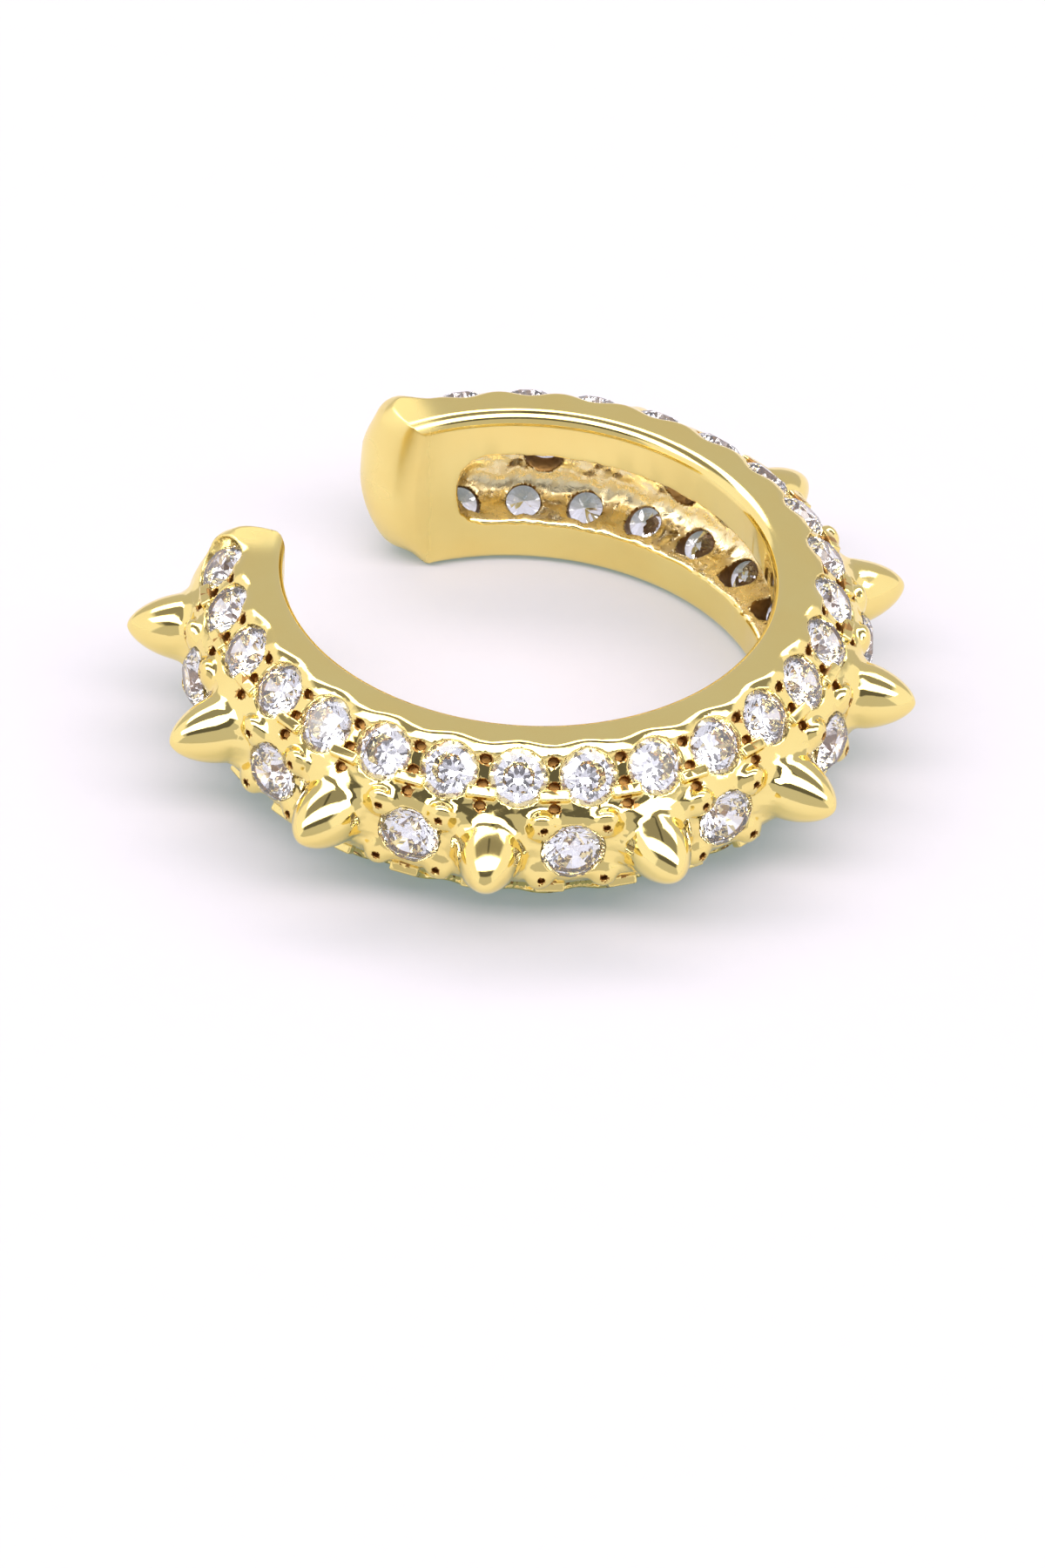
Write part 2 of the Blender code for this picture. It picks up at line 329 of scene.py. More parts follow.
@dataclass(frozen=True)
class PaleCard(Finish):
    """Matt card, pressed from pulp: pale and even, lit a little from below as on a light table.

    Its fibres of about 0.02 mm are too fine to show, so they are drawn at patch_mm.
    """

    name: str = "pale_card"
    low_colour: str = "B2A9AE"
    high_colour: str = "B4ABB0"
    low_rough: float = 0.9
    high_rough: float = 0.9
    patch_mm: float = 0.4
    gloss: float = 0.1
    glow: str = "D3FBFF"
    glow_level: float = 0.21

    def settings(self) -> dict:
        """The card's faint gloss and its glow."""
        return {"Specular IOR Level": self.gloss, "Emission Color": linear(self.glow),
                "Emission Strength": self.glow_level}


def rounded_cut(a: Array, b: Array, radius: float) -> Array:
    """Keep what is inside both distances, with a fillet of a radius along their edge."""
    return np.minimum(-radius, np.maximum(a, b)) + np.hypot(
        np.maximum(a + radius, 0), np.maximum(b + radius, 0))


def rounded_join(a: Array, b: Array, radius: float) -> Array:
    """Join what is inside either distance, with a fillet of a radius in their corner."""
    return np.maximum(radius, np.minimum(a, b)) - np.hypot(
        np.maximum(radius - a, 0), np.maximum(radius - b, 0))


def bar(at: tuple[Array, Array, Array], half: Triple, edge: float) -> Array:
    """Work out a bar with rounded edges, centred on the origin.

    Args:
        at: the places' three coordinates.
        half: its three half sizes.
        edge: the radius of its edges.

    Returns:
        Distance to its surface.
    """
    past = np.stack([np.abs(v) - size + edge for v, size in zip(at, half)])
    outside = np.sqrt((np.maximum(past, 0) ** 2).sum(axis=0))
    return outside + np.minimum(past.max(axis=0), 0) - edge


def egg(at: tuple[Array, Array, Array], half: Triple) -> Array:
    """Work out an egg shape, centred on the origin.

    Args:
        at: the places' three coordinates.
        half: its three half sizes.

    Returns:
        Near distance to its surface.
    """
    near = np.sqrt(sum((v / size) ** 2 for v, size in zip(at, half)))
    steep = np.sqrt(sum((v / size ** 2) ** 2 for v, size in zip(at, half)))
    return near * (near - 1) / np.maximum(steep, TINY)


def ripple(along: Array, height: Array, turns: float, climb: float, shift: Array | float = 0.0) -> Array:
    """Waves whose phase grows by turns for each unit along, and by climb for each millimetre up."""
    return np.sin(along * turns + height * climb + shift)


@dataclass
class Places:
    """Places in millimetres and radians about the ring axis.

    Up is above the floor, rise above the middle of the band, and height above or below it.
    """

    radius: Array
    angle: Array
    up: Array
    rise: Array
    height: Array

    @classmethod
    def of(cls, points: Array, middle: float) -> "Places":
        """Turn points about the ring axis, one to a row, into places about a middle height."""
        x, y, up = points[:, 0], points[:, 1], points[:, 2]
        return cls(np.hypot(x, y), np.arctan2(y, x), up, up - middle, np.abs(up - middle))


@dataclass
class Layout:
    """Where the rows lie, in millimetres and radians about the ring axis, read from the CAD nodes."""

    height: float = 0.0
    axis: tuple[float, float] = (0.0, 0.0)
    stones: list[float] = field(default_factory=list)
    centres: list[float] = field(default_factory=list)
    spikes: list[float] = field(default_factory=list)

    @staticmethod
    def middles(start: str) -> list[Vector]:
        """Mean of the points of each node whose name starts so, in millimetres."""
        found = [[v.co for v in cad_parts[n].data.vertices]
                 for n in sorted(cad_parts) if n.startswith(start)]
        return [sum(points, Vector()) / len(points) / MM for points in found]

    @classmethod
    def from_frame(cls) -> "Layout":
        """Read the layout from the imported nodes.

        Returns:
            The layout, with the ring axis as the middle of the circle through three stones.
        """
        middles = cls.middles("upper_stone")
        ax, ay = middles[0].xy
        bx, by = middles[len(middles) // 2].xy
        cx, cy = middles[-1].xy
        twice = 2 * (ax * (by - cy) + bx * (cy - ay) + cx * (ay - by))
        a, b, c = ax * ax + ay * ay, bx * bx + by * by, cx * cx + cy * cy
        x = (a * (by - cy) + b * (cy - ay) + c * (ay - by)) / twice
        y = (a * (cx - bx) + b * (ax - cx) + c * (bx - ax)) / twice
        stones = sorted(math.atan2(p.y - y, p.x - x) for p in middles)
        centres = sorted(math.atan2(p.y - y, p.x - x) for p in cls.middles("centre_stone"))
        pitch = (centres[-1] - centres[0]) / (len(centres) - 1)
        spikes = [centres[0] - pitch / 2 + pitch * i for i in range(len(centres) + 1)]
        low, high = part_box("cuff_band")
        return cls((high.z - low.z) / MM, (x, y), stones, centres, spikes)


@dataclass
class Casting:
    """The gold plated casting: band, channel, seats, prongs and spikes. Sizes in millimetres.

    Edges are the radii of outer edges, and fillets those of inner corners.
    """

    layout: Layout
    # Section of the band, from the inside outwards
    inner_radius: float = 4.75
    inner_edge: float = 0.28
    flat_width: float = 0.78
    shoulder_run: float = 0.87
    shoulder_drop: float = 0.92
    belly_rise: float = 0.15
    belly_slope: float = 0.20
    belly_edge: float = 0.12
    # Scalloped rim between the flat and the shoulder's stones
    rim_reach: float = 0.20
    rim_start: float = 0.03
    rim_scallop: float = 0.065
    rim_tilt: float = math.radians(34)
    rim_edge: float = 0.03
    # Domed ends, and the egg-shaped knob that swells each
    opening: float = 4.4
    end_bulge: float = 0.50
    end_middle: float = 5.70
    end_reach: float = 1.15
    end_side: float = 0.34
    end_fullness: float = 2.1
    end_drop_above: float = 0.16
    end_drop_below: float = 0.80
    end_steepness: float = 0.85
    end_edge: float = 0.46
    knob: Triple = (0.74, 0.66, 2.3)
    knob_middle: float = 5.62
    knob_back: float = 0.10
    knob_drop: float = 0.70
    knob_edge: float = 0.40
    knob_fillet: float = 0.32
    # Channel that hollows the band from the inside
    channel_height: float = 1.58
    channel_edge: float = 0.12
    channel_past: float = 0.24
    channel_end_edge: float = 0.62
    outer_wall: float = 0.70
    shoulder_wall: float = 0.68
    lip_edge: float = 0.12
    cast_wave: float = 0.016
    cast_second: float = 0.6
    # Stones, their seats and the holes behind them
    shoulder_stone: float = 1.12
    centre_stone: float = 1.25
    stone_sink: float = 0.08
    hidden_sink: float = 0.34
    centre_sink: float = 0.02
    stone_room: float = -0.01
    girdle: float = 0.02
    pavilion_slope: float = 0.86
    seat_edge: float = 0.04
    shoulder_hole: float = 0.34
    shoulder_hole_past: float = 0.40
    centre_hole: float = 0.38
    centre_hole_past: float = 0.12
    # Spikes
    spike_base: float = 1.34
    spike_height: float = 1.17
    spike_fullness: float = 1.65
    spike_root: float = 0.3
    spike_fillet: float = 0.24
    # Prongs of the shoulders and of the centre row, and the small holes drilled about them
    prong: Triple = (0.115, 0.29, 0.12)
    prong_down: float = 0.35
    prong_edge: float = 0.045
    prong_fillet: float = 0.05
    corner_prong: Triple = (0.29, 0.27, 0.17)
    corner_away: float = 0.86
    corner_sink: float = 0.06
    corner_fillet: float = 0.15
    pit_places: Triple = (-0.31, 0.17, 0.58)
    pit_radius: float = 0.085
    pit_depth: float = 0.18
    pit_length: float = 0.8
    corner_pit_radius: float = 0.065
    corner_pit_depth: float = 0.03
    # Low lumps of the outer face, which fade out over three short ways
    lump: float = 0.022
    lump_second: float = 0.35
    lump_top: float = 1.25
    lump_past: float = 0.3
    lump_fade: Triple = (0.1, 0.2, 0.3)
    # Skin: cell sizes, how far points settle in cells, the grid's margin and shift, and how near
    # counts as on a surface
    step: float = 0.045
    quick_step: float = 0.075
    most_faces: int = 190_000
    first_rounds: int = 2
    first_reach: float = 0.6
    last_rounds: int = 1
    last_reach: float = 0.5
    grid_margin: float = 0.2
    grid_shift: float = 0.013
    lean_reach: float = 0.006
    least_steep: float = 0.05
    level_facing: float = 0.999
    level_reach: float = 0.006
    recess_reach: float = 0.02
    channel_reach: float = 0.03
    channel_start: float = 0.05

    def __post_init__(self) -> None:
        """Work out the places that follow from the sizes."""
        self.middle = self.layout.height / 2
        self.flat_radius = self.inner_radius + self.flat_width
        self.shoulder_end = self.flat_radius + self.shoulder_run
        self.outer_radius = self.shoulder_end + self.belly_rise
        self.tilt = math.atan2(self.shoulder_drop, self.shoulder_run)
        self.shoulder_radius = self.flat_radius + self.shoulder_run / 2
        self.shoulder_height = self.layout.height - self.shoulder_drop / 2
        self.end_angle = math.pi - math.asin(self.opening / 2 / self.inner_radius)
        stones = self.layout.stones
        self.gaps = [(one + two) / 2 for one, two in zip(stones, stones[1:])]

    def nearest(self, angle: Array, angles: list[float]) -> Array:
        """Measure from the nearest of an evenly spaced row.

        Args:
            angle: the places' angles.
            angles: the row's angles.

        Returns:
            The angle left over.
        """
        pitch = (angles[-1] - angles[0]) / (len(angles) - 1)
        which = np.clip(np.round((angle - angles[0]) / pitch), 0, len(angles) - 1)
        return angle - angles[0] - which * pitch

    def on_shoulder(self, at: Places, angles: list[float]) -> tuple[Array, Array, Array]:
        """Measure on a shoulder, from the nearest of a row.

        Args:
            at: the places.
            angles: the row's angles.

        Returns:
            Ways down the slope, along the row and out of the metal.
        """
        sin, cos = math.sin(self.tilt), math.cos(self.tilt)
        off = self.nearest(at.angle, angles)
        across = at.radius * np.cos(off) - self.shoulder_radius
        up = at.height + self.middle - self.shoulder_height
        return across * cos - up * sin, at.radius * np.sin(off), across * sin + up * cos

    def on_face(self, at: Places, angles: list[float]) -> tuple[Array, Array]:
        """Measure on the outer face, from the nearest of a row: along the row and out of the metal."""
        off = self.nearest(at.angle, angles)
        return at.radius * np.sin(off), at.radius * np.cos(off) - self.outer_radius

    def cap(self, at: Places) -> Array:
        """Work out the domed end, which bulges at mid height and falls away more below.

        Args:
            at: the places.

        Returns:
            Near distance past it.
        """
        past = (np.abs(at.angle) - self.end_angle) * self.shoulder_radius
        drop = np.where(at.rise < 0, self.end_drop_below, self.end_drop_above)
        falls = drop * np.abs(at.rise / self.middle) ** self.end_fullness
        side = self.end_side * ((at.radius - self.end_middle) / self.end_reach) ** 2
        return (past - self.end_bulge + falls + side) * self.end_steepness

    def end_knob(self, at: Places) -> Array:
        """Work out the knob of the nearer end, which reaches less far below.

        Args:
            at: the places.

        Returns:
            Near distance to its surface.
        """
        past = (np.abs(at.angle) - self.end_angle) * self.shoulder_radius + self.knob_back
        lower = at.rise + self.knob_drop * np.minimum(at.rise, 0) / self.middle
        return egg((at.radius - self.knob_middle, past, lower), self.knob)

    def rim_bevel(self, at: Places) -> Array:
        """Work out the bevel of the rim, scalloped about each stone.

        Args:
            at: the places.

        Returns:
            Distance past it.
        """
        off = self.nearest(at.angle, self.layout.stones)
        pitch = self.layout.stones[1] - self.layout.stones[0]
        scallop = np.where(np.abs(off) < pitch / 2, np.cos(2 * math.pi * off / pitch), -1)
        rim = self.flat_radius - self.rim_start - self.rim_scallop * scallop
        below = at.height - self.middle
        return (at.radius - rim) * math.sin(self.rim_tilt) + below * math.cos(self.rim_tilt)

    def band(self, at: Places) -> Array:
        """Work out the solid C with its domed ends.

        Args:
            at: the places.

        Returns:
            Distance to its surface.
        """
        below = at.height - self.middle
        shoulder = (at.radius - self.flat_radius) * math.sin(self.tilt) + below * math.cos(self.tilt)
        collar = np.maximum(at.radius - self.flat_radius - self.rim_reach, -below - self.shoulder_drop / 2)
        shoulder = rounded_join(shoulder, collar, self.rim_edge)
        shoulder = rounded_cut(shoulder, self.rim_bevel(at), self.rim_edge)
        length = math.hypot(self.belly_rise, self.belly_slope)
        belly = ((at.radius - self.shoulder_end) * self.belly_slope
                 + (below + self.shoulder_drop) * self.belly_rise) / length
        found = rounded_cut(shoulder, belly, self.belly_edge)
        found = rounded_cut(found, at.radius - self.outer_radius, self.belly_edge)
        found = rounded_cut(found, self.cap(at), self.end_edge)
        knob = rounded_cut(self.end_knob(at), below, self.knob_edge)
        found = rounded_join(found, knob, self.knob_fillet)
        found = rounded_cut(found, below, self.rim_edge)
        return rounded_cut(found, self.inner_radius - at.radius, self.inner_edge)

    def channel(self, at: Places) -> Array:
        """Work out the hollow along the inside, with rounded ends and wavy walls as cast.

        Args:
            at: the places.

        Returns:
            Distance to its surface.
        """
        stones = self.layout.stones
        bend = 2 * ripple(at.angle, at.height, turns=23, climb=0)
        wave = (ripple(at.angle, at.height, turns=37, climb=7)
                * ripple(at.radius, at.height, turns=11, climb=9))
        wave = wave + self.cast_second * ripple(at.angle, at.height, turns=71, climb=-12, shift=bend)
        shoulder = ((at.radius - self.flat_radius) * math.sin(self.tilt)
                    + (at.height - self.middle) * math.cos(self.tilt) + self.shoulder_wall)
        sides = rounded_cut(at.height - self.channel_height / 2, shoulder, self.channel_edge)
        along = np.abs(at.angle - (stones[0] + stones[-1]) / 2) - (stones[-1] - stones[0]) / 2
        ends = along * self.inner_radius - self.channel_past
        hollow = rounded_cut(sides, at.radius - self.outer_radius + self.outer_wall, self.channel_edge)
        return rounded_cut(hollow, ends, self.channel_end_edge) + wave * self.cast_wave

    def spikes(self, at: Places) -> Array:
        """Work out the bullet-shaped spikes.

        Args:
            at: the places.

        Returns:
            Near distance to their surface.
        """
        along, out = self.on_face(at, self.layout.spikes)
        aside = np.hypot(along, at.rise) / (self.spike_base / 2)
        tall = np.maximum(out, 0) / self.spike_height
        full = self.spike_fullness
        bullet = ((aside ** full + tall ** full) ** (1 / full) - 1) * self.spike_base / 2
        return np.maximum(bullet, -out - self.spike_root)

    def lumps(self, at: Places) -> Array:
        """Work out the low lumps of the outer face.

        Args:
            at: the places.

        Returns:
            How far they take the surface in.
        """
        around, up = at.angle, at.up
        bend = 2 * ripple(around, up, turns=7, climb=3.1)
        found = (ripple(around, up, turns=29, climb=5.3, shift=bend)
                 * ripple(around, up, turns=-17, climb=7.9))
        found = found + (self.lump_second * ripple(around, up, turns=83, climb=17)
                         * ripple(around, up, turns=-41, climb=23))
        inner, outer, ends = self.lump_fade
        where = (np.clip((at.radius - self.shoulder_end) / inner + 0.5, 0, 1)
                 * np.clip((self.outer_radius + self.lump_past - at.radius) / outer, 0, 1)
                 * np.clip((self.lump_top - at.height) / ends, 0, 1))
        return found * where * self.lump

    def wedge_prongs(self, at: Places) -> Array:
        """Work out the prongs between the shoulder stones, level with the rim's bevel.

        Args:
            at: the places.

        Returns:
            Distance to their surface.
        """
        slope, row, out = self.on_shoulder(at, self.gaps)
        down = slope - self.prong_down
        sin, cos = math.sin(self.tilt - self.rim_tilt), math.cos(self.tilt - self.rim_tilt)
        return bar((down * cos + out * sin, row, out * cos - down * sin), self.prong, self.prong_edge)

    def corner_prongs(self, at: Places) -> Array:
        """Work out the four round prongs about each centre stone.

        Args:
            at: the places.

        Returns:
            Near distance to their surface.
        """
        along, out = self.on_face(at, self.layout.centres)
        inwards = (np.abs(along) + at.height) / math.sqrt(2) - self.corner_away
        aside = (np.abs(along) - at.height) / math.sqrt(2)
        return egg((inwards, aside, out + self.corner_sink), self.corner_prong)

    def pits(self, at: Places) -> Array:
        """Work out the small holes that the setter drilled about the prongs.

        Args:
            at: the places.

        Returns:
            Distance to their surface.
        """
        slope, row, rise = self.on_shoulder(at, self.gaps)
        found = np.full_like(at.radius, FAR)
        for place in self.pit_places:
            away = np.hypot(slope - place, row * self.pit_length)
            found = np.minimum(found, np.maximum(away - self.pit_radius, -rise - self.pit_depth))
        along, out = self.on_face(at, self.layout.centres)
        place = self.corner_away / math.sqrt(2)
        away = np.hypot(np.abs(along) - place, at.height - place)
        return np.minimum(found, np.maximum(away - self.corner_pit_radius, -out - self.corner_pit_depth))

    def holes(self, at: Places) -> Array:
        """Work out the round holes behind the stones.

        Args:
            at: the places.

        Returns:
            Distance to their surface.
        """
        slope, row, rise = self.on_shoulder(at, self.layout.stones)
        back = -(rise + self.shoulder_wall + self.shoulder_hole_past)
        found = np.maximum(np.hypot(slope, row) - self.shoulder_hole, back)
        along, out = self.on_face(at, self.layout.centres)
        back = -(out + self.outer_wall + self.centre_hole_past)
        return np.minimum(found, np.maximum(np.hypot(at.height, along) - self.centre_hole, back))

    def seat(self, away: Array, out: Array, stone: float, sink: float) -> Array:
        """Work out the bore and the bearing of one stone's seat.

        Args:
            away: the places' ways from the stone's axis.
            out: their ways out of the metal.
            stone: the stone's diameter.
            sink: how deep its girdle lies.

        Returns:
            Distance to what is cut away.
        """
        rim = stone / 2 + self.stone_room
        bearing = out + sink + self.girdle + self.stone_room
        cone = ((away - rim) * self.pavilion_slope - bearing) / math.hypot(self.pavilion_slope, 1)
        return np.maximum(away - rim, cone)

    def seats(self, at: Places) -> Array:
        """Work out all that is cut away for the stones.

        Args:
            at: the places.

        Returns:
            Distance to its surface.
        """
        slope, row, rise = self.on_shoulder(at, self.layout.stones)
        along, out = self.on_face(at, self.layout.centres)
        found = np.minimum(self.seat(np.hypot(slope, row), rise, self.shoulder_stone, self.stone_sink),
                           self.seat(np.hypot(at.height, along), out, self.centre_stone, self.centre_sink))
        return np.minimum(found, self.holes(at))

    def distance(self, points: Array) -> Array:
        """Distance to the finished metal, below zero inside.

        Args:
            points: places in millimetres about the ring axis, one to a row.

        Returns:
            One distance for each point, near enough for a skin and for its normals.
        """
        at = Places.of(points, self.middle)
        metal = rounded_join(self.band(at), self.spikes(at), self.spike_fillet) + self.lumps(at)
        metal = rounded_cut(metal, -self.channel(at), self.lip_edge)
        metal = rounded_cut(metal, -self.seats(at), self.seat_edge)
        metal = rounded_join(metal, self.corner_prongs(at), self.corner_fillet)
        metal = rounded_cut(metal, -self.pits(at), self.pit_radius / 3)
        return rounded_join(metal, self.wedge_prongs(at), self.prong_fillet)

    def field_on(self, points: Array) -> Array:
        """The distance at many points, worked out a part at a time."""
        parts = np.array_split(points, max(1, len(points) // BATCH))
        return np.concatenate([self.distance(p) for p in parts])

    def lean(self, points: Array) -> Array:
        """Slope of the distance at each point."""
        shifts = np.eye(3) * self.lean_reach
        return np.stack([(self.field_on(points + shift) - self.field_on(points - shift))
                         / (2 * self.lean_reach) for shift in shifts], axis=1)

    def settle(self, points: Array, rounds: int, furthest: float) -> Array:
        """Move points onto the surface.

        Args:
            points: the points.
            rounds: how often they move.
            furthest: how far each may move in a round.

        Returns:
            The moved points.
        """
        for _ in range(rounds):
            slope = self.lean(points)
            steep = np.maximum((slope ** 2).sum(axis=1), self.least_steep)
            move = -slope * (self.field_on(points) / steep)[:, None]
            size = np.linalg.norm(move, axis=1, keepdims=True)
            points = points + move * np.minimum(1, furthest / np.maximum(size, TINY))
        return points

    def sample(self, step: float) -> tuple[Array, Array]:
        """Work the distance out on a grid about the metal.

        Args:
            step: side of a cell in millimetres.

        Returns:
            The distances, and the place of the grid's first corner.
        """
        tip = self.outer_radius + self.spike_height + 2 * step
        across = np.arange(-tip, tip + step, step)
        upwards = np.arange(-2 * step, self.layout.height + 3 * step, step) + self.grid_shift
        flat_x, flat_y = np.meshgrid(across, across, indexing="ij")
        far = np.hypot(flat_x, flat_y)
        near = (far > self.inner_radius - self.grid_margin) & (far < tip)
        values = np.full((len(across), len(across), len(upwards)), FAR, np.float32)
        xy = np.stack([flat_x[near], flat_y[near]], axis=1)
        for k, z in enumerate(upwards):
            values[near, k] = self.field_on(np.column_stack([xy, np.full(len(xy), z)]))
        return values, np.array([across[0], across[0], upwards[0]])

    @staticmethod
    def cell_points(values: Array) -> tuple[Array, Array]:
        """Put a point in each cell that the surface crosses, amid its crossed edges.

        Args:
            values: the distances on the grid.

        Returns:
            The points in cells, and the number of each cell's point, or -1 where it has none.
        """
        inside = values < 0
        corners = [(i, j, k) for i in (0, 1) for j in (0, 1) for k in (0, 1)]
        size = [n - 1 for n in values.shape]
        count = np.zeros(size, np.int8)
        for i, j, k in corners:
            count += inside[i:i + size[0], j:j + size[1], k:k + size[2]]
        crossed = (count > 0) & (count < len(corners))
        cells = np.argwhere(crossed)
        number = np.full(size, -1, np.int32)
        number[crossed] = np.arange(len(cells))
        total, hits = np.zeros((len(cells), 3)), np.zeros(len(cells))
        for corner in corners:
            for axis in range(3):
                if corner[axis] == 1:
                    continue
                other = tuple(1 if n == axis else corner[n] for n in range(3))
                low, high = (values[tuple((cells + end).T)] for end in (corner, other))
                hit = (low < 0) != (high < 0)
                share = np.where(hit, low / np.where(hit, low - high, 1), 0)
                for n in range(3):
                    total[:, n] += hit * (corner[n] + share * (other[n] - corner[n]))
                hits += hit
        return cells + total / hits[:, None], number

    @staticmethod
    def cell_faces(inside: Array, number: Array) -> Array:
        """Join the points of the four cells round each crossed edge, facing out.

        Args:
            inside: which corners of the grid are in the metal.
            number: the number of each cell's point.

        Returns:
            Four numbers for each face.
        """
        faces = []
        for axis in range(3):
            one, two = (axis + 1) % 3, (axis + 2) % 3
            low = np.moveaxis(inside, axis, 0)[:-1, 1:-1, 1:-1]
            high = np.moveaxis(inside, axis, 0)[1:, 1:-1, 1:-1]
            order = [axis] + [n for n in range(3) if n != axis]
            for entering in (True, False):
                found = np.argwhere((low & ~high) if entering else (~low & high))
                at = np.zeros_like(found)
                at[:, order] = found + np.array([0, 1, 1])
                ring = []
                for back_one, back_two in ((1, 1), (0, 1), (0, 0), (1, 0)):
                    cell = at.copy()
                    cell[:, one] -= back_one
                    cell[:, two] -= back_two
                    ring.append(number[tuple(cell.T)])
                faces.append(np.stack(ring if entering else ring[::-1], axis=1))
        return np.concatenate(faces)

    def thin_out(self, points: Array, faces: Array) -> Mesh:
        """Take faces out of a skin where it is flat.

        Args:
            points: its points.
            faces: four of their numbers for each face.

        Returns:
            The thinned mesh.
        """
        raw = bpy.data.meshes.new("casting_skin")
        raw.from_pydata(points.tolist(), [], faces.tolist())
        thick = new_piece("casting_skin", raw, [])
        thinned = thick.modifiers.new("thin out", "DECIMATE")
        thinned.ratio = min(1.0, self.most_faces / (2 * len(faces)))
        kept = bpy.data.meshes.new_from_object(thick.evaluated_get(bpy.context.evaluated_depsgraph_get()))
        bpy.data.objects.remove(thick)
        kept.name = "casting"
        return kept

    def build(self, tumbled: Material, as_cast: Material, recess: Material) -> None:
        """Skin the metal, thin the skin out where it is flat, and give it the exact normals.

        The piece stands for the CAD band.

        Args:
            tumbled: finish of what shows on the outside.
            as_cast: finish of the channel.
            recess: finish of the small holes, brown as painted shade.
        """
        step = self.step
        values, start = self.sample(step)
        spots, number = self.cell_points(values)
        faces = self.cell_faces(values < 0, number)
        points = self.settle(start + spots * step, self.first_rounds, step * self.first_reach)
        mesh = self.thin_out(points, faces)
        places = np.empty(len(mesh.vertices) * 3, np.float32)
        mesh.vertices.foreach_get("co", places)
        places = self.settle(places.reshape(-1, 3).astype(float), self.last_rounds, step * self.last_reach)
        slope = self.lean(places)
        normals = slope / np.maximum(np.linalg.norm(slope, axis=1, keepdims=True), TINY)
        shift = np.array([self.layout.axis[0], self.layout.axis[1], 0.0])
        mesh.vertices.foreach_set("co", ((places + shift) * MM).astype(np.float32).ravel())
        piece = new_piece("gold_casting", mesh, [tumbled, as_cast, recess])
        self.finish_faces(mesh, places)
        mesh.shade_smooth()
        mesh.normals_split_custom_set(self.corner_normals(mesh, places, normals).tolist())
        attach(piece, BODY)
        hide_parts("cuff_band")
        LOG.info("gold_casting: %d faces from %d", len(mesh.polygons), len(faces))

    def corner_normals(self, mesh: Mesh, places: Array, normals: Array) -> Array:
        """Spread the normals to the face corners, and keep the long faces of the flats quite flat.

        Args:
            mesh: the thinned skin.
            places: its points in millimetres about the ring axis.
            normals: the exact normal at each point.

        Returns:
            One normal for each face corner.
        """
        count = len(mesh.polygons)
        loops, sizes = np.empty(len(mesh.loops), np.int32), np.empty(count, np.int32)
        facing = np.empty(count * 3, np.float32)
        mesh.loops.foreach_get("vertex_index", loops)
        mesh.polygons.foreach_get("loop_total", sizes)
        mesh.polygons.foreach_get("normal", facing)
        facing = facing.reshape(-1, 3)
        face = np.repeat(np.arange(count), sizes)
        rise = np.abs(places[loops, 2] - self.middle)
        mean_rise = np.bincount(face, rise, count) / sizes
        level = (np.abs(facing[:, 2]) > self.level_facing) & (mean_rise > self.middle - self.level_reach)
        corners = normals[loops]
        corners[level[face]] = np.sign(facing[face[level[face]], 2:3]) * np.array([0.0, 0.0, 1.0])
        return corners

    def finish_faces(self, mesh: Mesh, places: Array) -> None:
        """Give the faces inside the channel the as-cast finish, and those in small holes the brown one,
        which is painted shade.

        Args:
            mesh: the thinned skin.
            places: its points in millimetres about the ring axis.
        """
        at = Places.of(places, self.middle)
        channel = self.channel(at)
        # Painted shade: faces in the holes and pits, outside the channel, take the brown finish.
        recess = np.minimum(self.pits(at), self.holes(at))
        deep = (recess < self.recess_reach) & (channel > self.recess_reach)
        hollow = (channel < self.channel_reach) & (at.radius > self.inner_radius + self.channel_start)
        finish = np.where(deep, 2, hollow)
        loops, starts = np.empty(len(mesh.loops), np.int32), np.empty(len(mesh.polygons), np.int32)
        mesh.loops.foreach_get("vertex_index", loops)
        mesh.polygons.foreach_get("loop_start", starts)
        mesh.polygons.foreach_set("material_index", finish[loops[starts]].astype(np.int32))


